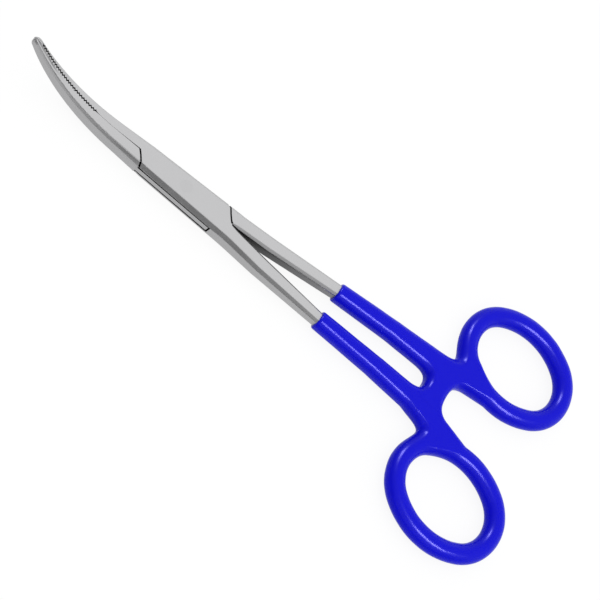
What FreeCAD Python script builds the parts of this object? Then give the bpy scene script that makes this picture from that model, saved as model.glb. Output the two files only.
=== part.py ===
import FreeCAD, Part
import math
import os
from FreeCAD import Vector

# Curved artery forceps with a box lock and dip-coated handles. All sizes in millimetres.
# The origin is on the lock pin's axis, at the level of the underside of the lock.
# +X runs to the jaw tips, +Z is up. The instrument is drawn closed.
# The female half has the jaw on -Y, the slotted lock body and the handle on +Y.
# The male half has the jaw on +Y, the tongue through the slot and the handle on -Y.

# Box lock
LOCK_THICK = 5.0
LOCK_FRONT_X = 10.0
LOCK_BACK_X = -14.2
LOCK_FRONT_HALF = 3.5
LOCK_BACK_HALF = 4.22
LOCK_CHAMFER = 1.0
LOCK_BEVEL_DROP = 1.25
STEEL_ROUND = 0.6
CHEEK_THICK = 1.4
TONGUE_CLEAR = 0.2
SLOT_RADIUS = 11.2
TONGUE_END_CLEAR = 0.2
SHOULDER_SEAM_X = 13.8
SHOULDER_MID = (12.3, 1.9)
SHOULDER_EDGE = (11.1, 3.9)
SHOULDER_CLEAR = 0.22
SEAM_GAP = 0.06
PIN_RADIUS = 1.6
PIN_CLEAR = 0.05

# Jaws
BEND_START_X = 20.0
BEND_RADIUS = 41.0
TIP_ANGLE = 44.0
TIP_HEIGHT = 2.5
TIP_HALF = 0.95
TIP_NOSE = 1.1
NOSE_TURNS = (30, 55, 75)
TIP_CHAMFER = 0.35
TIP_CROWN = 0.5
TIP_BEVEL_DROP = 0.7
JAW_LOW_CHAMFER = 0.7
JAW_LOW_CHAMFER_TIP = 0.3
BEND_STATIONS = 6
TOOTH_START_X = 27.4
TOOTH_PITCH = 0.85
TOOTH_DEPTH = 0.28
TOOTH_OPENING = 0.6
TOOTH_ENGAGE = 0.03
TOOTH_END_MARGIN = 1.4

# Steel bars of the handles, bare and then coated: x, inner wall, outer wall, height
FEMALE_SHANK = (
    (LOCK_BACK_X, 0.10, LOCK_BACK_HALF, LOCK_THICK),
    (-16.0, 0.20, 4.33, 4.95),
    (-25.0, 1.00, 5.12, 4.50),
)
FEMALE_GRIP = (
    (-44.4, 2.65, 5.87, 3.70),
    (-62.0, 2.67, 6.47, 3.70),
    (-74.0, 2.80, 7.34, 3.70),
    (-80.0, 3.70, 8.50, 3.70),
    (-86.0, 5.50, 9.70, 3.60),
    (-93.0, 7.20, 10.20, 3.40),
)
MALE_SHANK = (
    (LOCK_BACK_X, 0.10, LOCK_BACK_HALF, LOCK_THICK),
    (-16.0, 0.16, 4.22, 4.95),
    (-25.0, 0.80, 4.85, 4.50),
)
MALE_GRIP = (
    (-44.9, 3.10, 6.60, 3.70),
    (-62.0, 4.05, 8.19, 3.70),
    (-74.0, 4.07, 9.13, 3.70),
    (-80.0, 4.60, 9.60, 3.70),
    (-86.0, 6.86, 10.30, 3.60),
    (-93.0, 7.30, 10.30, 3.40),
)
BAR_CHAMFER = 0.8
CROTCH_CHAMFER = 0.3
CROTCH_RUN = 2.5

# Handle coats and finger rings
COAT_THICK = 0.8
COAT_LIP = 0.35
RING_TUBE_RADIUS = 2.65
RING_CORE_SIDES = 8
RING_CENTRE_X = -95.1
RING_CENTRE_Y = 20.4
RING_LONG = 14.9
RING_SHORT = 11.65
RING_END_RADIUS = 10.2
FEMALE_RING_TURN = -5.4
MALE_RING_TURN = -3.0

# Ratchet arms
ARM_FRONT_X = -75.7
ARM_WIDTH = 6.7
ARM_REACH = 4.5
ARM_ROOT = 6.5
ARM_GAP = 0.2
ARM_ROUND = 1.5
ARM_CLEAR = 0.35
RATCHET_PITCH = 1.2
RATCHET_RAMP = 1.0
RATCHET_DEPTH = 0.5
RATCHET_TEETH = 5

ARM_BACK_X = ARM_FRONT_X - ARM_WIDTH
MID_Z = LOCK_THICK / 2
HANDLE_Z = RING_TUBE_RADIUS
CORNER_SHARE = 0.35
ZONE_X = 20.0
OVERSHOOT = 2.0
TINY = 1e-6
FAR = 120.0

FEMALE = 1
MALE = -1
ORIGIN = Vector(0, 0, 0)
ACROSS = Vector(0, 1, 0)
UP = Vector(0, 0, 1)


def mix(a, b, share):
    """A value the given share of the way from a to b."""
    return a + (b - a) * share


def corner_arc(before, corner, after, radius):
    """The start, middle and end of a corner's rounding, as far as its two edges allow."""
    back = before - corner
    ahead = after - corner
    half = back.getAngle(ahead) / 2
    reach = min(radius / math.tan(half), CORNER_SHARE * back.Length, CORNER_SHARE * ahead.Length)
    back.normalize()
    ahead.normalize()
    inward = (back + ahead).normalize()
    fit = reach * math.tan(half)
    middle = corner + inward * (fit / math.sin(half) - fit)
    return corner + back * reach, middle, corner + ahead * reach


def rounded_wire(points, radius):
    """A closed planar wire with every corner rounded."""
    following = points[1:] + points[:1]
    arcs = []
    for i, corner in enumerate(points):
        arcs.append(corner_arc(points[i - 1], corner, following[i], radius))
    edges = []
    for arc, next_arc in zip(arcs, arcs[1:] + arcs[:1]):
        start, middle, end = arc
        edges.append(Part.Arc(start, middle, end).toShape())
        edges.append(Part.LineSegment(end, next_arc[0]).toShape())
    return Part.Wire(edges)


def crowned_wire(points, sharp, radius, crest):
    """A closed planar wire, rounded but for the sharp corners, with an arc over its crest."""
    edges = []
    here = None
    first, last = points[0], points[-1]
    # The corners at both ends of the crest are rounded against its chord.
    for before, corner, after in zip([last] + points[:-1], points, points[1:] + [first]):
        start, middle, end = corner_arc(before, corner, after, radius)
        if corner in sharp:
            start, end = corner, corner
        if here is not None:
            edges.append(Part.LineSegment(here, start).toShape())
        else:
            crest_end = start
        if corner not in sharp:
            edges.append(Part.Arc(start, middle, end).toShape())
        here = end
    if crest.distanceToLine(first, last - first) > TINY:
        edges.append(Part.Arc(here, crest, crest_end).toShape())
    else:
        edges.append(Part.LineSegment(here, crest_end).toShape())
    return Part.Wire(edges)


def slab(x0, x1, y0, y1, z0, z1):
    """A plain block between six limits."""
    return Part.makeBox(x1 - x0, y1 - y0, z1 - z0, Vector(x0, y0, z0))


def half_turn(shape):
    """A copy turned half a turn about the pin's axis."""
    copy = shape.copy()
    copy.rotate(ORIGIN, UP, 180)
    return copy


def other_handle(shape):
    """A copy turned over about the line midway between the handles, so female becomes male."""
    copy = shape.copy()
    copy.rotate(Vector(0, 0, HANDLE_Z), Vector(1, 0, 0), 180)
    return copy


# Lock block and jaws, as one body that both halves are cut from


def closed_section(centre, lean, half, height, chamfer, low_chamfer, deep, crown):
    """The outline of both halves together, across the long axis at one station."""
    up = Vector(-math.sin(lean), 0, math.cos(lean))
    top = half - chamfer
    foot = half - low_chamfer
    places = (
        (top, height / 2 - crown),
        (half, height / 2 - deep),
        (half, low_chamfer - height / 2),
        (foot, -height / 2),
        (-foot, -height / 2),
        (-half, low_chamfer - height / 2),
        (-half, height / 2 - deep),
        (-top, height / 2 - crown),
    )
    points = [centre + ACROSS * across + up * rise for across, rise in places]
    # The underside's corners stay sharp.
    return crowned_wire(points, points[3:5], STEEL_ROUND, centre + up * (height / 2))


def jaw_length():
    """The length of the jaws' centre line, from the front of the lock block to the tip."""
    return BEND_START_X - LOCK_FRONT_X + BEND_RADIUS * math.radians(TIP_ANGLE)


def jaw_station(along):
    """The point on the jaws' centre line at a distance from the lock block, and its lean."""
    straight = BEND_START_X - LOCK_FRONT_X
    if along <= straight:
        return Vector(LOCK_FRONT_X + along, 0, MID_Z), 0.0
    lean = (along - straight) / BEND_RADIUS
    rise = BEND_RADIUS * (1 - math.cos(lean))
    return Vector(BEND_START_X + BEND_RADIUS * math.sin(lean), 0, MID_Z + rise), lean


def jaw_section(along):
    """The jaws' outline at a distance from the lock block."""
    centre, lean = jaw_station(along)
    share = along / jaw_length()
    half = mix(LOCK_FRONT_HALF, TIP_HALF, share)
    height = mix(LOCK_THICK, TIP_HEIGHT, share ** 2)
    chamfer = mix(LOCK_CHAMFER, TIP_CHAMFER, math.sqrt(share))
    crown = TIP_CROWN * share ** 1.5
    low_chamfer = mix(JAW_LOW_CHAMFER, JAW_LOW_CHAMFER_TIP, share)
    deep = crown + mix(LOCK_BEVEL_DROP, TIP_BEVEL_DROP, share)
    return closed_section(centre, lean, half, height, chamfer, low_chamfer, deep, crown)


def lock_section(x, half):
    """The lock's outline at one place."""
    centre = Vector(x, 0, MID_Z)
    sizes = (LOCK_THICK, LOCK_CHAMFER, JAW_LOW_CHAMFER, LOCK_BEVEL_DROP)
    return closed_section(centre, 0, half, *sizes, 0)


def lock_block():
    """The lock's block, a little wider at the shanks than at the jaws."""
    back = lock_section(LOCK_BACK_X, LOCK_BACK_HALF)
    front = lock_section(LOCK_FRONT_X, LOCK_FRONT_HALF)
    return Part.makeLoft([back, front], True, True)


def jaw_block():
    """Both jaws as one tapering bar that bends upwards and ends in a rounded nose."""
    straight = BEND_START_X - LOCK_FRONT_X
    body_length = jaw_length() - TIP_NOSE
    root = Part.makeLoft([jaw_section(0), jaw_section(straight)], True, True)
    wires = []
    for i in range(BEND_STATIONS + 1):
        wires.append(jaw_section(mix(straight, body_length, i / BEND_STATIONS)))
    bend = Part.makeLoft(wires, True, False)
    nose = [wires[-1]]
    for turn in NOSE_TURNS:
        reach = body_length + TIP_NOSE * math.sin(math.radians(turn))
        section = jaw_section(reach)
        section.scale(math.cos(math.radians(turn)), jaw_station(reach)[0])
        nose.append(section)
    return root.fuse([bend, Part.makeLoft(nose, True, True)])


def bend_centre():
    """The centre of the jaws' bend."""
    return Vector(BEND_START_X, 0, MID_Z + BEND_RADIUS)


def tooth_start():
    """The angle round the bend at which the serrations start, in radians."""
    return math.asin((TOOTH_START_X - BEND_START_X) / BEND_RADIUS)


def tooth_count():
    """The number of serrations that fit between their start and the tip."""
    room = math.radians(TIP_ANGLE) - TOOTH_END_MARGIN / BEND_RADIUS - tooth_start()
    return int(room * BEND_RADIUS / TOOTH_PITCH)


def groove_leans(half):
    """The angles round the bend of one jaw's grooves, staggered by half a pitch for the male."""
    pitch = TOOTH_PITCH / BEND_RADIUS
    first = tooth_start() + (pitch / 2 if half == FEMALE else pitch)
    return [first + i * pitch for i in range(tooth_count())]


def outward(lean):
    """The direction from the bend's centre at an angle round the bend."""
    return Vector(math.sin(lean), 0, -math.cos(lean))


def toothed_sector(half):
    """The space in which one jaw's crests stand proud of the seam, from first to last groove."""
    hub = bend_centre() - ACROSS * FAR / 2
    leans = groove_leans(half)
    points = [hub, hub + outward(leans[0]) * FAR, hub + outward(leans[-1]) * FAR, hub]
    return Part.Face(Part.makePolygon(points)).extrude(ACROSS * FAR)


def tooth_grooves(half):
    """The V cutters for the serrations in one jaw's face."""
    inner_radius = BEND_RADIUS - LOCK_THICK
    lift = ACROSS * half * TOOTH_DEPTH
    cutters = []
    for lean in groove_leans(half):
        down = outward(lean)
        along = Vector(math.cos(lean), 0, math.sin(lean))
        base = bend_centre() + down * inner_radius + ACROSS * half * TOOTH_ENGAGE
        left = base + lift - along * TOOTH_OPENING
        right = base + lift + along * TOOTH_OPENING
        sheet = Part.Face(Part.makePolygon([left, right, base - lift, left]))
        cutters.append(sheet.extrude(down * 2 * LOCK_THICK))
    return cutters


def face_jaw(body, half):
    """Cut the other half's jaw away, with the serrations along the outer part of the seam."""
    seam = slab(ZONE_X, FAR, TOOTH_ENGAGE, FAR, -FAR, FAR)
    flat = slab(ZONE_X, FAR, -SEAM_GAP / 2, TOOTH_ENGAGE, -FAR, FAR)
    if half == MALE:
        seam = seam.mirror(ORIGIN, ACROSS)
        flat = flat.mirror(ORIGIN, ACROSS)
    flat = flat.cut(toothed_sector(half))
    return body.cut(seam).cut(flat).cut(tooth_grooves(half))


# Box lock


def shoulder_zone(clear, seam, low, high):
    """The space in front of the shoulder line, where the male jaw is as thick as the lock."""
    start = Vector(SHOULDER_SEAM_X + clear, seam, low)
    middle = Vector(SHOULDER_MID[0] + clear, SHOULDER_MID[1], low)
    end = Vector(SHOULDER_EDGE[0] + clear, SHOULDER_EDGE[1], low)
    outside = Vector(end.x, SHOULDER_EDGE[1] * 2, low)
    far = Vector(ZONE_X, outside.y, low)
    near = Vector(ZONE_X, seam, low)
    edges = [Part.Arc(start, middle, end).toShape()]
    for a, b in ((end, outside), (outside, far), (far, near), (near, start)):
        edges.append(Part.LineSegment(a, b).toShape())
    return Part.Face(Part.Wire(edges)).extrude(Vector(0, 0, high - low))


def swing_zone(radius, seam, low, high):
    """The space that the tongue takes up at the slot's level: a disc and the two outer corners."""
    disc = Part.makeCylinder(radius, high - low, Vector(0, 0, low))
    front = slab(0, ZONE_X, seam, ZONE_X, low, high)
    return disc.fuse([front, half_turn(front)])


def female_lock(body):
    """Cut the slot and the two shoulders out of the female half."""
    shoulder = shoulder_zone(0, -SEAM_GAP / 2, -OVERSHOOT, LOCK_THICK + OVERSHOOT)
    slot = swing_zone(SLOT_RADIUS, -SEAM_GAP / 2, CHEEK_THICK, LOCK_THICK - CHEEK_THICK)
    return body.cut([shoulder, half_turn(shoulder), slot])


def male_lock(body):
    """Cut the male half down to the tongue between its two shoulders."""
    shoulder = shoulder_zone(SHOULDER_CLEAR, SEAM_GAP / 2, -FAR, FAR)
    shoulders = shoulder.fuse(half_turn(shoulder))
    low = CHEEK_THICK + TONGUE_CLEAR
    high = LOCK_THICK - low
    top = LOCK_THICK + OVERSHOOT
    whole = slab(-ZONE_X, ZONE_X, -ZONE_X, ZONE_X, -OVERSHOOT, top)
    below = slab(-ZONE_X, ZONE_X, -ZONE_X, ZONE_X, -OVERSHOOT, low)
    above = slab(-ZONE_X, ZONE_X, -ZONE_X, ZONE_X, high, top)
    swing = swing_zone(SLOT_RADIUS - TONGUE_END_CLEAR, SEAM_GAP / 2, -OVERSHOOT, top)
    return body.cut([below.cut(shoulders), above.cut(shoulders), whole.cut(swing)])


def pin_hole(radius):
    """The room for a hole right through the lock on the pin's axis."""
    return Part.makeCylinder(radius, LOCK_THICK + 2 * OVERSHOOT, Vector(0, 0, -OVERSHOOT))


# Handles


def steel_section(half, station, share):
    """The outline of a handle's steel bar at one station, with the lock's own bevels at share 0."""
    x, inner, outer, height = station
    middle = mix(MID_Z, HANDLE_Z, share)
    low = middle - height / 2
    high = middle + height / 2
    across = mix(LOCK_CHAMFER, BAR_CHAMFER, share)
    drop = mix(LOCK_BEVEL_DROP, BAR_CHAMFER, share)
    foot = mix(JAW_LOW_CHAMFER, BAR_CHAMFER, share)
    crotch = mix(CROTCH_CHAMFER, BAR_CHAMFER, min(1.0, (LOCK_BACK_X - x) / CROTCH_RUN))
    places = (
        (inner + crotch, high),
        (outer - across, high),
        (outer, high - drop),
        (outer, low + foot),
        (outer - foot, low),
        (inner + crotch, low),
        (inner, low + crotch),
        (inner, high - crotch),
    )
    points = [Vector(x, half * y, z) for y, z in places]
    return rounded_wire(points, STEEL_ROUND)


def coat_section(half, station, thick):
    """The outline of the coat over a handle's bar at one station."""
    x, inner, outer, height = station
    soft = BAR_CHAMFER + COAT_THICK
    low = HANDLE_Z - height / 2 - thick
    high = HANDLE_Z + height / 2 + thick
    near = inner - thick
    far = outer + thick
    places = (
        (near + soft, high),
        (far - soft, high),
        (far, high - soft),
        (far, low + soft),
        (far - soft, low),
        (near + soft, low),
        (near, low + soft),
        (near, high - soft),
    )
    points = [Vector(x, half * y, z) for y, z in places]
    return rounded_wire(points, soft)


def steel_bar(half, shank, grip):
    """A handle's bar from the lock to the finger ring, bevelled on all four edges."""
    start = grip[0][0]
    wires = []
    for station in shank:
        share = (station[0] - LOCK_BACK_X) / (start - LOCK_BACK_X)
        wires.append(steel_section(half, station, share))
    for station in grip:
        wires.append(steel_section(half, station, 1.0))
    return Part.makeLoft(wires, True, True)


def coat_bar(half, grip):
    """The coat over a handle's bar, with a soft lip at its front end."""
    x, inner, outer, height = grip[0]
    full = (x - COAT_LIP, inner, outer, height)
    wires = [coat_section(half, grip[0], COAT_THICK - COAT_LIP)]
    for station in (full,) + grip[1:]:
        wires.append(coat_section(half, station, COAT_THICK))
    return Part.makeLoft(wires, True, True)


def ring_path(half):
    """The finger ring's centre line: an oval of four tangent arcs."""
    end_x = RING_LONG - RING_END_RADIUS
    side_radius = end_x ** 2 + RING_SHORT ** 2 - RING_END_RADIUS ** 2
    side_radius = side_radius / (2 * (RING_SHORT - RING_END_RADIUS))
    side_y = side_radius - RING_SHORT
    join = Vector(end_x, side_y, 0).normalize() * side_radius - Vector(0, side_y, 0)
    front = Vector(RING_LONG, 0, 0)
    side = Vector(0, RING_SHORT, 0)
    low_join = Vector(join.x, -join.y, 0)
    edges = [
        Part.Arc(low_join, front, join).toShape(),
        Part.Arc(join, side, Vector(-join.x, join.y, 0)).toShape(),
        Part.Arc(Vector(-join.x, join.y, 0), -front, -join).toShape(),
        Part.Arc(-join, -side, low_join).toShape(),
    ]
    path = Part.Wire(edges)
    path.rotate(ORIGIN, UP, FEMALE_RING_TURN if half == FEMALE else MALE_RING_TURN)
    path.translate(Vector(RING_CENTRE_X, half * RING_CENTRE_Y, HANDLE_Z))
    return path


def ring_tube(half):
    """The round outer skin of a finger ring."""
    path = ring_path(half)
    first = path.OrderedEdges[0]
    start = first.valueAt(first.FirstParameter)
    tangent = first.tangentAt(first.FirstParameter)
    profile = Part.Wire(Part.Circle(start, tangent, RING_TUBE_RADIUS).toShape())
    return path.makePipeShell([profile], True, False)


def ring_core(half):
    """The steel core of a finger ring, forged with flat sides that key the coat to it."""
    path = ring_path(half)
    first = path.OrderedEdges[0]
    start = first.valueAt(first.FirstParameter)
    tangent = first.tangentAt(first.FirstParameter)
    sideways = tangent.cross(UP)
    radius = RING_TUBE_RADIUS - COAT_THICK
    points = []
    for i in range(RING_CORE_SIDES):
        turn = 2 * math.pi * (i + 0.5) / RING_CORE_SIDES
        points.append(start + (sideways * math.cos(turn) + UP * math.sin(turn)) * radius)
    profile = Part.makePolygon(points + points[:1])
    return path.makePipeShell([profile], True, False)


def arm_block(inset, round_radius):
    """The female half's ratchet arm, shrunk by inset but for its upper face that has the teeth."""
    arm = slab(
        ARM_BACK_X + inset,
        ARM_FRONT_X - inset,
        inset - ARM_REACH,
        ARM_ROOT,
        inset,
        HANDLE_Z - ARM_GAP / 2,
    )
    soft = []
    for edge in arm.Edges:
        box = edge.BoundBox
        upright = box.ZLength > TINY
        at_end = box.YMax < ARM_ROOT - TINY
        at_foot = box.ZMax < inset + TINY
        if (upright and at_end) or (at_foot and box.YMin < ARM_ROOT - TINY):
            soft.append(edge)
    return arm.makeFillet(round_radius, soft)


def arm_pocket(margin):
    """The room above the female half's arm that the male half's arm lies in."""
    reach = ARM_REACH + ARM_CLEAR + margin
    side = ARM_CLEAR + margin
    return slab(ARM_BACK_X - side, ARM_FRONT_X + side, -FAR, reach, HANDLE_Z - ARM_GAP / 2, FAR)


def ratchet_grooves():
    """The saw-tooth notches in the female arm's upper face, steep on the side that holds."""
    top = HANDLE_Z - ARM_GAP / 2
    x = ARM_BACK_X + COAT_THICK
    length = ARM_FRONT_X - COAT_THICK - x
    cutters = []
    for i in range(RATCHET_TEETH):
        y = (i - RATCHET_TEETH / 2) * RATCHET_PITCH
        foot = Vector(x, y, top - RATCHET_DEPTH)
        wall = Vector(x, y, top)
        ramp = Vector(x, y + RATCHET_RAMP, top)
        sheet = Part.Face(Part.makePolygon([foot, wall, ramp, foot]))
        cutters.append(sheet.extrude(Vector(length, 0, 0)))
    return cutters


def for_half(half, shape):
    """A female handle's shape, turned over where it is wanted for the male half."""
    return shape if half == FEMALE else other_handle(shape)


def steel_handle(half, shank, grip):
    """A handle's bar, finger ring and ratchet arm, before its teeth are cut."""
    arm = for_half(half, arm_block(COAT_THICK, ARM_ROUND - COAT_THICK))
    pocket = for_half(half, arm_pocket(COAT_THICK / 2))
    return steel_bar(half, shank, grip).fuse([ring_core(half), arm]).cut(pocket)


def coat(half, grip, steel):
    """The soft coat over a handle, from the grip's start to the end of the ring and the arm."""
    arm = for_half(half, arm_block(0, ARM_ROUND))
    pocket = for_half(half, arm_pocket(0))
    skin = coat_bar(half, grip).fuse([ring_tube(half), arm])
    return skin.cut(pocket).cut(steel)


def main():
    """Build the five pieces and write each to its own file."""
    blank = lock_block().fuse(jaw_block())
    female_steel = steel_handle(FEMALE, FEMALE_SHANK, FEMALE_GRIP)
    male_steel = steel_handle(MALE, MALE_SHANK, MALE_GRIP)
    teeth = Part.makeCompound(ratchet_grooves())

    female = female_lock(blank.fuse(female_steel))
    female = face_jaw(female, FEMALE).cut(pin_hole(PIN_RADIUS))
    male = male_lock(blank.fuse(male_steel))
    male = face_jaw(male, MALE).cut(pin_hole(PIN_RADIUS + PIN_CLEAR))

    pieces = {
        "female_half": female.cut(teeth),
        "male_half": male.cut(other_handle(teeth)),
        "lock_pin": Part.makeCylinder(PIN_RADIUS, LOCK_THICK),
        "female_grip": coat(FEMALE, FEMALE_GRIP, female_steel),
        "male_grip": coat(MALE, MALE_GRIP, male_steel),
    }
    os.makedirs("parts", exist_ok=True)
    for name, shape in pieces.items():
        solids = shape.removeSplitter().Solids
        whole = solids[0] if len(solids) == 1 else Part.makeCompound(solids)
        print(name, len(solids), "solid", round(whole.Volume, 1), "mm3 valid", whole.isValid())
        whole.exportStep(os.path.join("parts", name + ".step"))


main()
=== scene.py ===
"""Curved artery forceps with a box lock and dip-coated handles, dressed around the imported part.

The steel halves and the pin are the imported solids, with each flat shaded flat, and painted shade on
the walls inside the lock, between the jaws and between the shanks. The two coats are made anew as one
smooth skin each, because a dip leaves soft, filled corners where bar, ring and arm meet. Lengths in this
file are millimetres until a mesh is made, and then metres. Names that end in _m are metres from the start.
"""

import logging
import math
from dataclasses import dataclass
from enum import Enum
from typing import Any, Union

import bmesh
import bpy
from mathutils import Matrix, Vector


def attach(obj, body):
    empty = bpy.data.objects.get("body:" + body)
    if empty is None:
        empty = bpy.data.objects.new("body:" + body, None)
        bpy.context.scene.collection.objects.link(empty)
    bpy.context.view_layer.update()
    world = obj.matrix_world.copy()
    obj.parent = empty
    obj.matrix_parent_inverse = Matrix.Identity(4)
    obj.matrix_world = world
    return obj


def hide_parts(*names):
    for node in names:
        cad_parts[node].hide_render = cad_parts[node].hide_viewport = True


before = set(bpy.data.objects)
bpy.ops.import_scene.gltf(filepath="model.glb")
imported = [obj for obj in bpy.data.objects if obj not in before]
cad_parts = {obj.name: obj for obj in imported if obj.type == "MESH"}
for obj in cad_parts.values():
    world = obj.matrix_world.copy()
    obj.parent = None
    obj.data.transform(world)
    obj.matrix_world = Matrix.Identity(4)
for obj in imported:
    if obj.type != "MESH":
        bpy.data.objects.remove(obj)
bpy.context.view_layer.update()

LOG = logging.getLogger("forceps")
MM = 0.001
WHITE = (1.0, 1.0, 1.0, 1.0)
# A length beyond any of the part's, for blocks that only have to reach past it.
FAR = 130.0

Value = Union[float, bpy.types.NodeSocket]
Place = tuple[float, float, float]
Stations = tuple[tuple[float, float, float, float], ...]


class Side(Enum):
    """The two halves, with the sign of Y on which each has its handle."""

    FEMALE = 1
    MALE = -1


class FinishOrShade(Enum):
    """The steel's finish and its two kinds of painted shade, in the order of a piece's materials."""

    BLASTED = 0
    # Painted shade: near-black steel inside the lock, between the jaws and in the serrations.
    CREVICE_SHADE = 1
    # Painted shade: darker steel on the shanks' inner walls, near black at the crotch.
    WALL_SHADE = 2


def linear(hex_colour: str) -> tuple[float, float, float, float]:
    """Turn an sRGB hex colour into linear red, green, blue and alpha.

    Args:
        hex_colour: six hex digits, such as "C4C4C4".

    Returns:
        The linear colour, fully opaque.
    """
    channels = []
    for i in (0, 2, 4):
        level = int(hex_colour[i : i + 2], 16) / 255
        channels.append(level / 12.92 if level <= 0.04045 else ((level + 0.055) / 1.055) ** 2.4)
    return (*channels, 1.0)


def add_node(tree: bpy.types.NodeTree, kind: str, settings: dict[str, Any] | None = None,
             inputs: dict[Any, Any] | None = None) -> bpy.types.Node:
    """Add a node to a tree, set it up and link it.

    Args:
        tree: the tree that gets the node.
        kind: the node's type name.
        settings: attributes to set on the node.
        inputs: values or sockets for the node's inputs, by name or number.

    Returns:
        The new node.
    """
    node = tree.nodes.new(kind)
    for name, setting in (settings or {}).items():
        setattr(node, name, setting)
    for name, given in (inputs or {}).items():
        if isinstance(given, bpy.types.NodeSocket):
            tree.links.new(given, node.inputs[name])
        else:
            node.inputs[name].default_value = given
    return node


@dataclass(frozen=True)
class Field:
    """A number that varies over space, as a socket in a Geometry Nodes tree."""

    tree: bpy.types.NodeTree
    socket: bpy.types.NodeSocket

    def apply(self, operation: str, *others: Union["Field", float]) -> "Field":
        """Put this number and others through one math operation.

        Args:
            operation: the math node's operation.
            others: the second and third operands.

        Returns:
            The result as a new field.
        """
        operands: list[Value] = [self.socket]
        for other in others:
            operands.append(other.socket if isinstance(other, Field) else other)
        node = add_node(self.tree, "ShaderNodeMath", {"operation": operation}, dict(enumerate(operands)))
        return Field(self.tree, node.outputs[0])

    def __add__(self, other: Union["Field", float]) -> "Field":
        """The sum of two numbers."""
        return self.apply("ADD", other)

    def __sub__(self, other: Union["Field", float]) -> "Field":
        """The first number less the second."""
        return self.apply("SUBTRACT", other)

    def __mul__(self, other: Union["Field", float]) -> "Field":
        """The product of two numbers."""
        return self.apply("MULTIPLY", other)

    def size(self) -> "Field":
        """The number without its sign."""
        return self.apply("ABSOLUTE")

    def above(self, floor: float) -> "Field":
        """The number, or the floor where that is higher."""
        return self.apply("MAXIMUM", floor)

    def within(self, low: float, high: float) -> "Field":
        """The number held between two limits."""
        return self.apply("MAXIMUM", low).apply("MINIMUM", high)

    def hypot(self, other: "Field") -> "Field":
        """The length of the line that two lengths at right angles span."""
        return (self * self + other * other).apply("SQRT")

    def join(self, other: "Field", blend: Union["Field", float]) -> "Field":
        """Two shapes as one, with their meeting filled in over a width."""
        return self.apply("SMOOTH_MIN", other, blend)

    def trim(self, other: "Field", blend: Union["Field", float]) -> "Field":
        """What lies in both shapes, with the edge eased over a width."""
        return self.apply("SMOOTH_MAX", other, blend)


@dataclass(frozen=True)
class SatinSteelOrShade:
    """Stainless steel, ground and glass-bead blasted, so that it looks pale grey with no sharp reflection. A
    dark steel colour given to it is painted shade.

    Where a dark colour is given, it is painted shade: the steel goes from it to its own colour between two
    places along X.
    """

    name: str
    colour: str
    roughness: float
    grain_mm: float = 0.45
    grain_depth_mm: float = 0.0015
    mottle_mm: float = 6.0
    mottle_spread: float = 0.05
    mottle_detail: float = 2.0
    grain_detail: float = 3.0
    shade_colour: str = ""
    fade_mm: tuple[float, float] = (-17.0, -44.0)

    def build(self) -> bpy.types.Material:
        """Make the material.

        Returns:
            The steel, with a fine blasted grain and a slow change in its roughness.
        """
        material = bpy.data.materials.new(self.name)
        material.use_nodes = True
        tree = material.node_tree
        tree.nodes.clear()
        place = add_node(tree, "ShaderNodeTexCoord").outputs["Object"]
        # Blasting leaves slow patches of slightly different gloss.
        mottle = add_node(tree, "ShaderNodeTexNoise", {}, {
            "Vector": place, "Scale": 1 / (self.mottle_mm * MM), "Detail": self.mottle_detail})
        gloss = add_node(tree, "ShaderNodeMapRange", {}, {
            "Value": mottle.outputs["Fac"],
            "To Min": self.roughness - self.mottle_spread,
            "To Max": self.roughness + self.mottle_spread})
        # The grain is a few hundredths of a millimetre on the real one. It is drawn coarser to show at all.
        grain = add_node(tree, "ShaderNodeTexNoise", {}, {
            "Vector": place, "Scale": 1 / (self.grain_mm * MM), "Detail": self.grain_detail})
        bump = add_node(tree, "ShaderNodeBump", {}, {
            "Height": grain.outputs["Fac"], "Strength": 1.0, "Distance": self.grain_depth_mm * MM})
        # Painted shade: the dark colour stands for the shade in the crotch, where the other shank keeps the
        # light off, and fades out along the shank.
        along = add_node(tree, "ShaderNodeSeparateXYZ", {}, {"Vector": place}).outputs["X"]
        shade_fade = add_node(tree, "ShaderNodeMapRange", {}, {
            "Value": along, "From Min": self.fade_mm[0] * MM, "From Max": self.fade_mm[1] * MM})
        colour = add_node(tree, "ShaderNodeMixRGB", {}, {
            "Fac": shade_fade.outputs["Result"],
            "Color1": linear(self.shade_colour or self.colour), "Color2": linear(self.colour)})
        shader = add_node(tree, "ShaderNodeBsdfPrincipled", {}, {
            "Base Color": colour.outputs["Color"], "Metallic": 1.0,
            "Roughness": gloss.outputs["Result"], "Normal": bump.outputs["Normal"]})
        add_node(tree, "ShaderNodeOutputMaterial", {}, {"Surface": shader.outputs["BSDF"]})
        return material


@dataclass(frozen=True)
class DippedVinyl:
    """Soft vinyl left by a dip: an even, deep blue, smooth and slightly waxy, with low soft highlights."""

    name: str
    colour: str
    roughness: float
    ior: float
    specular_level: float
    sheen_colour: str

    def build(self) -> bpy.types.Material:
        """Make the material.

        Returns:
            The vinyl.
        """
        material = bpy.data.materials.new(self.name)
        material.use_nodes = True
        tree = material.node_tree
        tree.nodes.clear()
        shader = add_node(tree, "ShaderNodeBsdfPrincipled", {}, {
            "Base Color": linear(self.colour), "Roughness": self.roughness, "IOR": self.ior,
            # The pigment in the vinyl's clear surface keeps its highlights blue.
            "Specular Tint": linear(self.sheen_colour),
            "Specular IOR Level": self.specular_level})
        add_node(tree, "ShaderNodeOutputMaterial", {}, {"Surface": shader.outputs["BSDF"]})
        return material


STEEL = SatinSteelOrShade(name="bead_blasted_stainless_steel", colour="A9A9AA", roughness=0.36)
# Painted shade: a darker steel on the shanks' inner walls, running to near black in the crotch where the
# other shank keeps the light off.
WALL_SHADE_STEEL = SatinSteelOrShade(name="painted_wall_shade_steel", colour="858587", roughness=0.45, shade_colour="161616")
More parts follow.
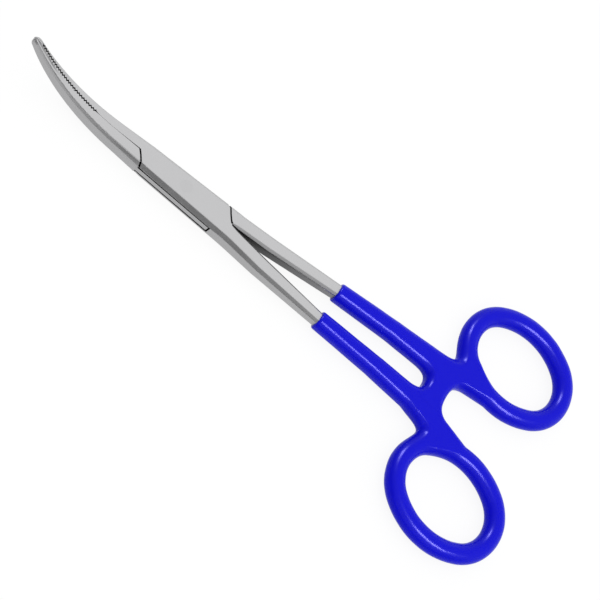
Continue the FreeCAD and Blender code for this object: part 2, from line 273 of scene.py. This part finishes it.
# Painted shade: near-black steel on the faces inside the lock, between the jaws and in the serrations.
CREVICE_SHADE_STEEL = SatinSteelOrShade(name="painted_crevice_shade_steel", colour="161617", roughness=0.6)
PIN_STEEL = SatinSteelOrShade(name="ground_pin_steel", colour="A7A7A8", roughness=0.36)
VINYL = DippedVinyl(name="dipped_blue_vinyl", colour="0E0EB4", roughness=0.25, ior=1.3,
                    specular_level=0.28, sheen_colour="AAA6FF")


@dataclass
class SteelPiece:
    """A forged half or the pin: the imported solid, joined up, flat where it is ground flat.

    The ranges below say where the CAD part has its cheeks' inner faces, the ends of its slot, its
    shoulders and its serrations, so that the faces there can be found.
    """

    node: str
    body: str
    slot: str
    finishes_and_shades: tuple[bpy.types.Material, ...]
    weld_mm: float = 0.0005
    sharp_deg: float = 9.0
    flat_weight: int = 90
    thick_mm: float = 5.0
    cheek_mm: tuple[float, float] = (1.3, 1.7)
    slot_radius_mm: tuple[float, float] = (10.9, 11.3)
    shoulder_mm: tuple[float, float] = (10.7, 14.6)
    bend_start_mm: float = 20.0
    bend_radius_mm: float = 41.0
    tooth_start_mm: float = 27.2
    groove_mm: float = 0.33
    open_mm: float = 0.12
    groove_open_mm: float = 0.11
    same_wall_deg: float = 30.0
    # The rest are sizes of a normal's part along a direction, which say whether a face looks that way.
    along: float = 0.9
    square: float = 0.2
    nearly_square: float = 0.3
    shoulder_turn: float = 0.4
    slanting: tuple[float, float] = (0.5, 0.95)

    def inner(self, face: bmesh.types.BMFace) -> bool:
        """Say whether a face is inside the lock or between the jaws, where painted shade goes.

        Args:
            face: a face of the joined mesh, in metres.

        Returns:
            True for the slot and tongue, the shoulders' walls and the serrations.
        """
        x, y, z = face.calc_center_median() / MM
        normal = face.normal
        upright = abs(normal.z) < self.square
        layer = min(z, self.thick_mm - z)
        in_cheek = self.cheek_mm[0] < layer < self.cheek_mm[1]
        if in_cheek and abs(x) < self.shoulder_mm[1] and abs(normal.z) > self.along:
            return True
        radius = math.hypot(x, y)
        radial = abs(normal.x * x + normal.y * y) > self.along * radius
        if upright and radial and self.slot_radius_mm[0] < radius < self.slot_radius_mm[1]:
            return True
        at_shoulder = self.shoulder_mm[0] < abs(x) < self.shoulder_mm[1]
        if at_shoulder and upright and abs(normal.x) > self.shoulder_turn:
            return True
        # The grooves run along the radius of the bend, so their flanks face square to it.
        lean = math.atan2(x - self.bend_start_mm, self.thick_mm / 2 + self.bend_radius_mm - z)
        facing = abs(normal.x * math.sin(lean) - normal.z * math.cos(lean))
        slanting = self.slanting[0] < abs(normal.y) < self.slanting[1]
        at_teeth = x > self.tooth_start_mm and abs(y) < self.groove_mm
        return at_teeth and facing < self.nearly_square and slanting

    def between_shanks(self, face: bmesh.types.BMFace) -> bool:
        """Say whether a face is on the side of a shank that faces the other shank.

        Args:
            face: a face of the joined mesh, in metres.

        Returns:
            True for the inner walls, which get painted shade, but not for their bevels.
        """
        x, y, _ = face.calc_center_median() / MM
        inwards = face.normal.y * y < 0.0
        return x < -self.shoulder_mm[0] and inwards and abs(face.normal.z) < self.nearly_square

    def finish_or_shade_of(self, face: bmesh.types.BMFace) -> FinishOrShade:
        """Say which finish or painted shade a face has.

        Args:
            face: a face of the joined mesh, in metres.

        Returns:
            The finish, or which painted shade it gets.
        """
        # The inner faces get painted shade, and so do the walls between the shanks; the rest is blasted
        # steel.
        if self.inner(face):
            return FinishOrShade.CREVICE_SHADE
        return FinishOrShade.WALL_SHADE if self.between_shanks(face) else FinishOrShade.BLASTED

    def open_gaps(self, work: bmesh.types.BMesh) -> None:
        """Draw the inner walls back a little, as the worn edges of the real gaps look wider than they are.

        Args:
            work: the joined mesh, in metres, with its inner faces marked.
        """
        moves = []
        for vert in work.verts:
            walls: list[Vector] = []
            for face in vert.link_faces:
                fresh = all(face.normal.angle(wall) > math.radians(self.same_wall_deg) for wall in walls)
                if face.material_index == FinishOrShade.CREVICE_SHADE.value and fresh:
                    walls.append(face.normal.copy())
            if walls:
                reach = self.open_mm if vert.co.x < self.tooth_start_mm * MM else self.groove_open_mm
                moves.append((vert, sum(walls, Vector()) * (-reach * MM)))
        for vert, move in moves:
            vert.co += move

    def build(self) -> bpy.types.Object:
        """Make the piece.

        Returns:
            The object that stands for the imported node.
        """
        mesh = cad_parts[self.node].data.copy()
        mesh.materials.clear()
        work = bmesh.new()
        work.from_mesh(mesh)
        bmesh.ops.remove_doubles(work, verts=work.verts, dist=self.weld_mm * MM)
        for edge in work.edges:
            edge.smooth = edge.calc_face_angle(0.0) < math.radians(self.sharp_deg)
        for face in work.faces:
            face.smooth = True
            face.material_index = self.finish_or_shade_of(face).value
        self.open_gaps(work)
        work.to_mesh(mesh)
        work.free()
        piece = bpy.data.objects.new(self.node + "_steel", mesh)
        bpy.context.scene.collection.objects.link(piece)
        for finish in self.finishes_and_shades:
            mesh.materials.append(finish)
        # The big faces rule the shading, so that only the narrow roundings between them look round.
        shade = piece.modifiers.new("flat_faces", "WEIGHTED_NORMAL")
        shade.mode = "FACE_AREA"
        shade.weight = self.flat_weight
        shade.keep_sharp = True
        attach(piece, self.body)
        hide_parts(self.node)
        LOG.info("%s: %d faces", piece.name, len(mesh.polygons))
        return piece


# The steel bars of the two handles, from front to back: x, inner wall, outer wall and height.
FEMALE_BAR = (
    (-44.4, 2.65, 5.87, 3.70),
    (-62.0, 2.67, 6.47, 3.70),
    (-74.0, 2.80, 7.34, 3.70),
    (-80.0, 3.70, 8.50, 3.70),
    (-86.0, 5.50, 9.70, 3.60),
    (-93.5, 7.30, 9.40, 2.60),
)
MALE_BAR = (
    (-44.9, 3.10, 6.60, 3.70),
    (-62.0, 4.05, 8.19, 3.70),
    (-74.0, 4.07, 9.13, 3.70),
    (-80.0, 4.60, 9.60, 3.70),
    (-86.0, 6.86, 10.30, 3.60),
    (-93.5, 7.60, 9.60, 2.60),
)

# The named inputs of a coat's tree.
SIZES = ("Tube radius", "Coat thickness", "Ring fill", "Arm fill", "Wave height")


@dataclass
class DippedCoat:
    """One handle's coat, as a smooth skin over its bar, ratchet arm and finger ring.

    The skin is worked out in the handle's own frame: X as in the part, Y towards the finger ring
    and Z up from the middle of the handles for the female half, down from it for the male.
    Both handles are melted into one closed bridge first, as they look when shut, and then parted.
    A round is the radius of an edge, and a fill is the width over which two forms run into each
    other. The last sizes are those of the grid that the skin is drawn on, its smoothing, and how far
    it reaches round the skin.
    """

    side: Side
    node: str
    body: str
    finish: bpy.types.Material
    bar: Stations
    other_bar: Stations
    ring_turn_deg: float
    ring_centre: tuple[float, float] = (-95.1, 20.4)
    ring_long: float = 14.9
    ring_short: float = 11.65
    ring_end_radius: float = 10.2
    tube_radius: float = 2.65
    coat: float = 0.8
    bar_round: float = 2.35
    lip_round: float = 0.9
    arm_x: tuple[float, float] = (-82.4, -75.7)
    arm_y: tuple[float, float] = (-4.5, 6.5)
    arm_gap: float = 0.04
    teeth_y: float = 3.2
    teeth_depth: float = 0.15
    arm_round: float = 2.2
    pocket_clear: float = 0.015
    flat_round: float = 0.2
    skim: float = 0.01
    part_deg: float = 40.0
    back_round: float = 3.0
    ring_fill: float = 7.0
    thin_fill: float = 1.0
    fill_x: tuple[float, float] = (-93.0, -86.0)
    arm_fill: float = 5.0
    wave: float = 0.12
    wave_length: float = 5.0
    wave_detail: float = 1.0
    voxel: float = 0.2
    smoothing: int = 5
    returns: int = 2
    margin: float = 0.6
    band: float = 1.5

    def ramped(self, x: Field, bar: Stations, column: int) -> Field:
        """A size of a bar that changes in straight runs from station to station.

        Args:
            x: the place along the handle.
            bar: the bar's stations.
            column: which of the stations' values to follow.

        Returns:
            The size as a field.
        """
        total = x * 0.0 + bar[0][column]
        for here, there in zip(bar, bar[1:]):
            slope = (there[column] - here[column]) / (there[0] - here[0])
            total = total + (x - here[0]).within(there[0] - here[0], 0.0) * slope
        return total

    def bar_skin(self, place: tuple[Field, Field, Field], bar: Stations, coat: Field) -> Field:
        """How far a place is outside the coat over a bar.

        Args:
            place: the place in the handle's frame.
            bar: the bar's stations.
            coat: the coat's thickness.

        Returns:
            The distance, negative inside.
        """
        x, y, z = place
        inner = self.ramped(x, bar, 1)
        outer = self.ramped(x, bar, 2)
        half_width = (outer - inner) * 0.5 + coat - self.bar_round
        half_height = self.ramped(x, bar, 3) * 0.5 + coat - self.bar_round
        across = (y - (inner + outer) * 0.5).size() - half_width
        rise = z.size() - half_height
        corner = across.above(0.0).hypot(rise.above(0.0))
        inside = across.apply("MAXIMUM", rise).apply("MINIMUM", 0.0)
        skin = corner + inside - self.bar_round
        front = x - bar[0][0]
        back = x * -1.0 + bar[-1][0]
        return skin.trim(front, self.lip_round).trim(back, self.back_round)

    def ring_skin(self, x: Field, y: Field, z: Field, tube_radius: Field) -> Field:
        """How far a place is outside the finger ring, a round tube along an oval of four arcs.

        Args:
            x: the place along the handle.
            y: the place across it.
            z: the height from the handles' middle.
            tube_radius: the radius of the ring with its coat.

        Returns:
            The distance, negative inside.
        """
        turn = math.radians(self.side.value * self.ring_turn_deg)
        east = x - self.ring_centre[0]
        north = y - self.ring_centre[1]
        along = (east * math.cos(turn) + north * math.sin(turn)).size()
        across = (north * math.cos(turn) - east * math.sin(turn)).size()
        end_x = self.ring_long - self.ring_end_radius
        side_radius = end_x ** 2 + self.ring_short ** 2 - self.ring_end_radius ** 2
        side_radius /= 2 * (self.ring_short - self.ring_end_radius)
        side_y = side_radius - self.ring_short
        end_arc = (along - end_x).hypot(across) - self.ring_end_radius
        side_arc = along.hypot(across + side_y) - side_radius
        # Places on the end's side of the line through both arcs' centres belong to the end arc.
        at_end = (along * side_y - (across + side_y) * end_x).apply("GREATER_THAN", 0.0)
        off_line = end_arc * at_end + side_arc * (at_end * -1.0 + 1.0)
        return off_line.hypot(z) - tube_radius

    def box_skin(self, place: tuple[Field, Field, Field], low: Place, high: Place, rounding: float) -> Field:
        """How far a place is outside a block with rounded edges.

        Args:
            place: the place in the handle's frame.
            low: the block's lowest corner.
            high: the block's highest corner.
            rounding: the radius of its edges.

        Returns:
            The distance, negative inside.
        """
        gaps = []
        for at, start, end in zip(place, low, high):
            gaps.append((at - (start + end) / 2).size() - ((end - start) / 2 - rounding))
        outside = gaps[0].above(0.0).hypot(gaps[1].above(0.0)).hypot(gaps[2].above(0.0))
        inside = gaps[0].apply("MAXIMUM", gaps[1]).apply("MAXIMUM", gaps[2]).apply("MINIMUM", 0.0)
        return outside + inside - rounding

    def other_half(self) -> list[tuple[Place, Place]]:
        """The room that the other half takes up of the closed bridge.

        Returns:
            The lowest and highest corners of the blocks to cut away, in the handle's frame.
        """
        clear = self.pocket_clear
        back = self.arm_x[0] - clear
        front = self.arm_x[1] + clear
        tooth_face = -self.arm_gap / 2
        return [
            ((front, -FAR, -FAR), (FAR, clear, FAR)),
            ((-FAR, -FAR, -FAR), (back, clear, FAR)),
            ((back - clear, -FAR, tooth_face), (front + clear, clear - self.arm_y[0], FAR)),
            ((back - clear, -FAR, -FAR), (front + clear, self.arm_y[0], FAR)),
            # The dip is wiped off the ratchet teeth.
            ((self.arm_x[0] + self.coat, self.arm_y[0] + self.coat, -self.teeth_depth),
             (self.arm_x[1] - self.coat, self.teeth_y, FAR)),
        ]

    def block(self, tree: bpy.types.NodeTree, low: Place, high: Place) -> bpy.types.NodeSocket:
        """Add a plain block to a tree.

        Args:
            tree: the tree that gets the block.
            low: its lowest corner in the handle's frame.
            high: its highest corner in the handle's frame.

        Returns:
            The block's geometry, in the part's frame.
        """
        sign = self.side.value
        corners = [Vector((x, sign * y, sign * z + self.tube_radius)) * MM for x, y, z in (low, high)]
        size = Vector([abs(a - b) for a, b in zip(*corners)])
        cube = add_node(tree, "GeometryNodeMeshCube", {}, {"Size": size})
        return add_node(tree, "GeometryNodeTransform", {}, {
            "Geometry": cube.outputs["Mesh"],
            "Translation": (corners[0] + corners[1]) / 2}).outputs["Geometry"]

    def closed_skin(self, place: tuple[Field, Field, Field], sizes: list[Field]) -> Field:
        """How far a place is outside this handle and the bridge that both handles make when shut.

        Args:
            place: the place in the handle's frame.
            sizes: the tree's inputs, in the order of SIZES.

        Returns:
            The distance, negative inside.
        """
        x, y, z = place
        tube_radius, coat, ring_fill, arm_fill, _ = sizes
        arm_low = (self.arm_x[0], -self.arm_y[1], -self.tube_radius)
        arm_high = (self.arm_x[1], self.arm_y[1], self.tube_radius)
        arm = self.box_skin(place, arm_low, arm_high, self.arm_round)
        # The corners are filled in front, where bar and ring part, and fade out along the ring.
        front = ((x - self.fill_x[0]) * (1 / (self.fill_x[1] - self.fill_x[0]))).within(0.0, 1.0)
        fill = (ring_fill - self.thin_fill) * front + self.thin_fill
        skin = self.bar_skin(place, self.bar, coat).join(self.ring_skin(x, y, z, tube_radius), fill)
        skin = skin.join(arm, arm_fill).join(self.bar_skin((x, y * -1.0, z), self.other_bar, coat), arm_fill)
        # The filled corners keep to the flat that the handles lie on, and to its match above.
        return skin.trim(z.size() - self.tube_radius + self.skim, self.flat_round)

    def drawn(self, tree: bpy.types.NodeTree, skin: Field,
              position: bpy.types.NodeSocket) -> bpy.types.NodeSocket:
        """Draw a skin as a mesh.

        Args:
            tree: the tree that gets the nodes.
            skin: the distance from the skin.
            position: the place, in the part's frame.

        Returns:
            The mesh's geometry.
        """
        # The density is a half on the skin, and reaches one and nothing a band inside and outside it.
        density = (skin * (-0.5 / self.band) + 0.5).within(0.0, 1.0)
        sign = self.side.value
        ys = sorted((sign * (self.arm_y[0] - self.margin),
                     sign * (self.ring_centre[1] + self.ring_short + self.tube_radius + self.margin)))
        low = (self.ring_centre[0] - self.ring_long - self.tube_radius - self.margin, ys[0], -self.margin)
        high = (self.bar[0][0] + self.margin, ys[1], 2 * self.tube_radius + self.margin)
        cube = add_node(tree, "GeometryNodeVolumeCube", {}, {
            "Density": density.socket, "Background": 0.0,
            "Min": Vector(low) * MM, "Max": Vector(high) * MM})
        for axis, start, end in zip("XYZ", low, high):
            cube.inputs["Resolution " + axis].default_value = round((end - start) / self.voxel)
        hull = add_node(tree, "GeometryNodeVolumeToMesh", {}, {
            "Volume": cube.outputs["Volume"], "Threshold": 0.5})
        # The skin's grid leaves a fine ripple. It is smoothed away, and the points go back onto the
        # exact skin.
        even = add_node(tree, "GeometryNodeBlurAttribute", {"data_type": "FLOAT_VECTOR"}, {
            "Value": position, "Iterations": self.smoothing}).outputs["Value"]
        calm = add_node(tree, "GeometryNodeSetPosition", {}, {
            "Geometry": hull.outputs["Mesh"], "Position": even}).outputs["Geometry"]
        normal = add_node(tree, "GeometryNodeInputNormal").outputs["Normal"]
        back = add_node(tree, "ShaderNodeVectorMath", {"operation": "SCALE"}, {
            "Vector": normal, "Scale": (skin * -MM).socket}).outputs["Vector"]
        for _ in range(self.returns):
            calm = add_node(tree, "GeometryNodeSetPosition", {}, {
                "Geometry": calm, "Offset": back}).outputs["Geometry"]
        return calm

    def parted(self, tree: bpy.types.NodeTree, whole: bpy.types.NodeSocket) -> bpy.types.NodeSocket:
        """Take off what belongs to the other half, and keep the edges that this leaves crisp.

        Args:
            tree: the tree that gets the nodes.
            whole: the geometry of the handle with the closed bridge.

        Returns:
            The geometry of this handle alone, shaded smooth between crisp edges.
        """
        cut = add_node(tree, "GeometryNodeMeshBoolean", {
            "operation": "DIFFERENCE", "solver": "MANIFOLD"}, {"Mesh 1": whole})
        for low_corner, high_corner in self.other_half():
            tree.links.new(self.block(tree, low_corner, high_corner), cut.inputs["Mesh 2"])
        turn = add_node(tree, "GeometryNodeInputMeshEdgeAngle").outputs["Unsigned Angle"]
        corner = add_node(tree, "FunctionNodeCompare", {"operation": "GREATER_THAN"}, {
            0: turn, 1: math.radians(self.part_deg)}).outputs["Result"]
        round_all = add_node(tree, "GeometryNodeSetShadeSmooth", {}, {"Geometry": cut.outputs["Mesh"]})
        return add_node(tree, "GeometryNodeSetShadeSmooth", {"domain": "EDGE"}, {
            "Geometry": round_all.outputs["Geometry"], "Selection": corner,
            "Shade Smooth": False}).outputs["Geometry"]

    def tree(self) -> bpy.types.NodeTree:
        """Build the Geometry Nodes tree that makes the coat.

        Returns:
            The tree, with the coat's main sizes as named inputs.
        """
        tree = bpy.data.node_groups.new(self.node + "_skin", "GeometryNodeTree")
        tree.interface.new_socket("Geometry", in_out="OUTPUT", socket_type="NodeSocketGeometry")
        for name in SIZES:
            tree.interface.new_socket(name, in_out="INPUT", socket_type="NodeSocketFloat")
        source = add_node(tree, "NodeGroupInput").outputs
        sizes = [Field(tree, source[i]) for i in range(len(SIZES))]

        position = add_node(tree, "GeometryNodeInputPosition").outputs["Position"]
        axes = add_node(tree, "ShaderNodeSeparateXYZ", {}, {"Vector": position}).outputs
        sign = float(self.side.value)
        x = Field(tree, axes["X"]) * (1 / MM)
        y = Field(tree, axes["Y"]) * (sign / MM)
        z = (Field(tree, axes["Z"]) * (1 / MM) - self.tube_radius) * sign
        skin = self.closed_skin((x, y, z), sizes)

        # A dip dries with slow waves in it, which break up the highlights.
        noise = add_node(tree, "ShaderNodeTexNoise", {}, {
            "Vector": position, "Scale": 1 / (self.wave_length * MM), "Detail": self.wave_detail})
        skin = skin + Field(tree, noise.outputs["Fac"]) * sizes[-1]

        coat = self.parted(tree, self.drawn(tree, skin, position))
        real = add_node(tree, "GeometryNodeRealizeInstances", {}, {"Geometry": coat})
        dressed = add_node(tree, "GeometryNodeSetMaterial", {}, {
            "Geometry": real.outputs["Geometry"], "Material": self.finish})
        add_node(tree, "NodeGroupOutput", {}, {"Geometry": dressed.outputs["Geometry"]})
        return tree

    def build(self) -> bpy.types.Object:
        """Make the piece.

        Returns:
            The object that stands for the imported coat.
        """
        tree = self.tree()
        maker = bpy.data.objects.new(self.node + "_maker", bpy.data.meshes.new(self.node + "_maker"))
        bpy.context.scene.collection.objects.link(maker)
        modifier = maker.modifiers.new("skin", "NODES")
        modifier.node_group = tree
        given = (self.tube_radius, self.coat, self.ring_fill, self.arm_fill, self.wave)
        sizes = dict(zip(SIZES, given))
        for item in tree.interface.items_tree:
            if item.in_out == "INPUT":
                modifier[item.identifier] = sizes[item.name]
        bpy.context.view_layer.update()
        baked = maker.evaluated_get(bpy.context.evaluated_depsgraph_get())
        mesh = bpy.data.meshes.new_from_object(baked)
        bpy.data.objects.remove(maker)
        piece = bpy.data.objects.new(self.node + "_coat", mesh)
        bpy.context.scene.collection.objects.link(piece)
        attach(piece, self.body)
        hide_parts(self.node)
        LOG.info("%s: %d faces", piece.name, len(mesh.polygons))
        return piece


@dataclass(frozen=True)
class SoftLamp:
    """A soft panel lamp that shines on the handles alone, so that the steel mirrors only the screen.

    A lamp for highlights only is mirrored in the coat and doesn't light it.
    """

    name: str
    place_m: Place
    size_m: tuple[float, float]
    watts: float
    highlights_only: bool
    aim_m: Place = (-0.08, 0.0, 0.0)

    def build(self, reached: bpy.types.Collection) -> None:
        """Hang the lamp.

        Args:
            reached: the pieces that the lamp shines on.
        """
        light = bpy.data.lights.new(self.name, "AREA")
        light.shape = "RECTANGLE"
        light.size, light.size_y = self.size_m
        light.energy = self.watts
        lamp = bpy.data.objects.new(self.name, light)
        bpy.context.scene.collection.objects.link(lamp)
        place = Vector(self.place_m)
        back = (place - Vector(self.aim_m)).normalized()
        side = Vector((1.0, 0.0, 0.0))
        side = (side - back * side.dot(back)).normalized()
        turn = Matrix((side, back.cross(side), back)).transposed().to_4x4()
        lamp.matrix_world = Matrix.Translation(place) @ turn
        lamp.visible_diffuse = not self.highlights_only
        lamp.light_linking.receiver_collection = reached


@dataclass
class Studio:
    """A white floor under a large soft screen, with panel lamps for the handles."""

    floor_colour: str = "F0F0F0"
    floor_half_m: float = 3.0
    floor_white: float = 0.9
    bright_side: Place = (-0.3, -0.45, 0.84)
    bright_from: float = 0.45
    dark_from: float = -0.15
    bright: float = 1.44
    dark: float = 0.15
    lamps: tuple[SoftLamp, ...] = (
        SoftLamp("crest_lamp", (-0.335, 0.24, 0.66), (0.3, 0.2), 18.0, highlights_only=True),
        SoftLamp("front_lamp", (0.305, -0.33, 0.48), (0.16, 0.16), 8.0, highlights_only=True),
        SoftLamp("side_lamp", (-0.1, 0.7, 0.45), (1.0, 0.5), 2.5, highlights_only=False),
    )

    def floor(self) -> bpy.types.Object:
        """Make the floor.

        Returns:
            The floor, which shows the camera a nearly white ground and keeps a faint shadow.
        """
        half = self.floor_half_m
        mesh = bpy.data.meshes.new("floor")
        mesh.from_pydata([(-half, -half, 0), (half, -half, 0), (half, half, 0), (-half, half, 0)], [],
                         [(0, 1, 2, 3)])
        floor = bpy.data.objects.new("floor", mesh)
        bpy.context.scene.collection.objects.link(floor)
        material = bpy.data.materials.new("white_paper_sweep")
        material.use_nodes = True
        tree = material.node_tree
        tree.nodes.clear()
        paper = add_node(tree, "ShaderNodeBsdfDiffuse", {}, {"Color": linear(self.floor_colour)})
        white = add_node(tree, "ShaderNodeEmission", {}, {"Color": WHITE, "Strength": 1.0})
        rays = add_node(tree, "ShaderNodeLightPath").outputs
        mirrored = add_node(tree, "ShaderNodeMath", {"operation": "MAXIMUM"}, {
            0: rays["Is Camera Ray"], 1: rays["Is Glossy Ray"]}).outputs[0]
        seen = add_node(tree, "ShaderNodeMath", {"operation": "MAXIMUM"}, {
            0: mirrored, 1: rays["Is Transmission Ray"]}).outputs[0]
        share = add_node(tree, "ShaderNodeMath", {"operation": "MULTIPLY"}, {0: seen, 1: self.floor_white})
        mixed = add_node(tree, "ShaderNodeMixShader", {}, {
            0: share.outputs[0], 1: paper.outputs[0], 2: white.outputs[0]})
        add_node(tree, "ShaderNodeOutputMaterial", {}, {"Surface": mixed.outputs[0]})
        # The white is only looked at and lights nothing, so no light samples go to it.
        material.cycles.emission_sampling = "NONE"
        mesh.materials.append(material)
        return floor

    def sky(self) -> None:
        """Set the world: a large bright screen on one side and overhead, and a dark room on the other."""
        world = bpy.data.worlds.new("screen_and_room")
        bpy.context.scene.world = world
        world.use_nodes = True
        tree = world.node_tree
        tree.nodes.clear()
        direction = add_node(tree, "ShaderNodeTexCoord").outputs["Generated"]
        facing = add_node(tree, "ShaderNodeVectorMath", {"operation": "DOT_PRODUCT"}, {
            0: direction, 1: Vector(self.bright_side).normalized()})
        level = add_node(tree, "ShaderNodeMapRange", {"interpolation_type": "SMOOTHSTEP"}, {
            "Value": facing.outputs["Value"], "From Min": self.dark_from, "From Max": self.bright_from,
            "To Min": self.dark, "To Max": self.bright})
        tent = add_node(tree, "ShaderNodeBackground", {}, {
            "Color": WHITE, "Strength": level.outputs["Result"]})
        add_node(tree, "ShaderNodeOutputWorld", {}, {"Surface": tent.outputs[0]})

    def build(self, handles: list[bpy.types.Object]) -> None:
        """Set up floor, sky and lamps.

        Args:
            handles: the coats that the lamps shine on.
        """
        self.floor()
        self.sky()
        reached = bpy.data.collections.new("handles_in_lamplight")
        for piece in handles:
            reached.objects.link(piece)
        for lamp in self.lamps:
            lamp.build(reached)


@dataclass
class PhotoCamera:
    """The photograph's viewpoint, found by fitting a camera to the lock's edges and the handles."""

    place_mm: Place = (69.494, 225.747, 403.04)
    right: Place = (-0.75552, -0.46463, 0.46185)
    up: Place = (0.61373, -0.74859, 0.25088)
    back: Place = (0.22917, 0.473, 0.85074)
    lens_mm: float = 118.888
    sensor_mm: float = 36.0
    near_m: float = 0.01

    def build(self) -> None:
        """Place the camera and make it the scene's own."""
        data = bpy.data.cameras.new("photo_camera")
        data.sensor_width = self.sensor_mm
        data.lens = self.lens_mm
        data.clip_start = self.near_m
        camera = bpy.data.objects.new("photo_camera", data)
        bpy.context.scene.collection.objects.link(camera)
        turn = Matrix((self.right, self.up, self.back)).transposed().to_4x4()
        camera.matrix_world = Matrix.Translation(Vector(self.place_mm) * MM) @ turn
        bpy.context.scene.camera = camera


def main() -> None:
    """Dress every piece of the forceps, then set the stage and the camera."""
    logging.basicConfig(level=logging.INFO, format="%(name)s: %(message)s")
    steel = STEEL.build()
    crevice_shade_steel = CREVICE_SHADE_STEEL.build()
    wall_shade_steel = WALL_SHADE_STEEL.build()
    pin_steel = PIN_STEEL.build()
    vinyl = VINYL.build()
    SteelPiece("female_half", "female_body", "satin_steel", (steel, crevice_shade_steel, wall_shade_steel)).build()
    SteelPiece("male_half", "male_body", "satin_steel", (steel, crevice_shade_steel, wall_shade_steel)).build()
    SteelPiece("lock_pin", "female_body", "pin_steel", (pin_steel, crevice_shade_steel, wall_shade_steel)).build()
    coats = [
        DippedCoat(Side.FEMALE, "female_grip", "female_body", vinyl, FEMALE_BAR, MALE_BAR, -5.4).build(),
        DippedCoat(Side.MALE, "male_grip", "male_body", vinyl, MALE_BAR, FEMALE_BAR, -3.0).build(),
    ]
    Studio().build(coats)
    PhotoCamera().build()
    bpy.context.scene.view_settings.view_transform = "Standard"


if __name__ == "__main__":
    main()
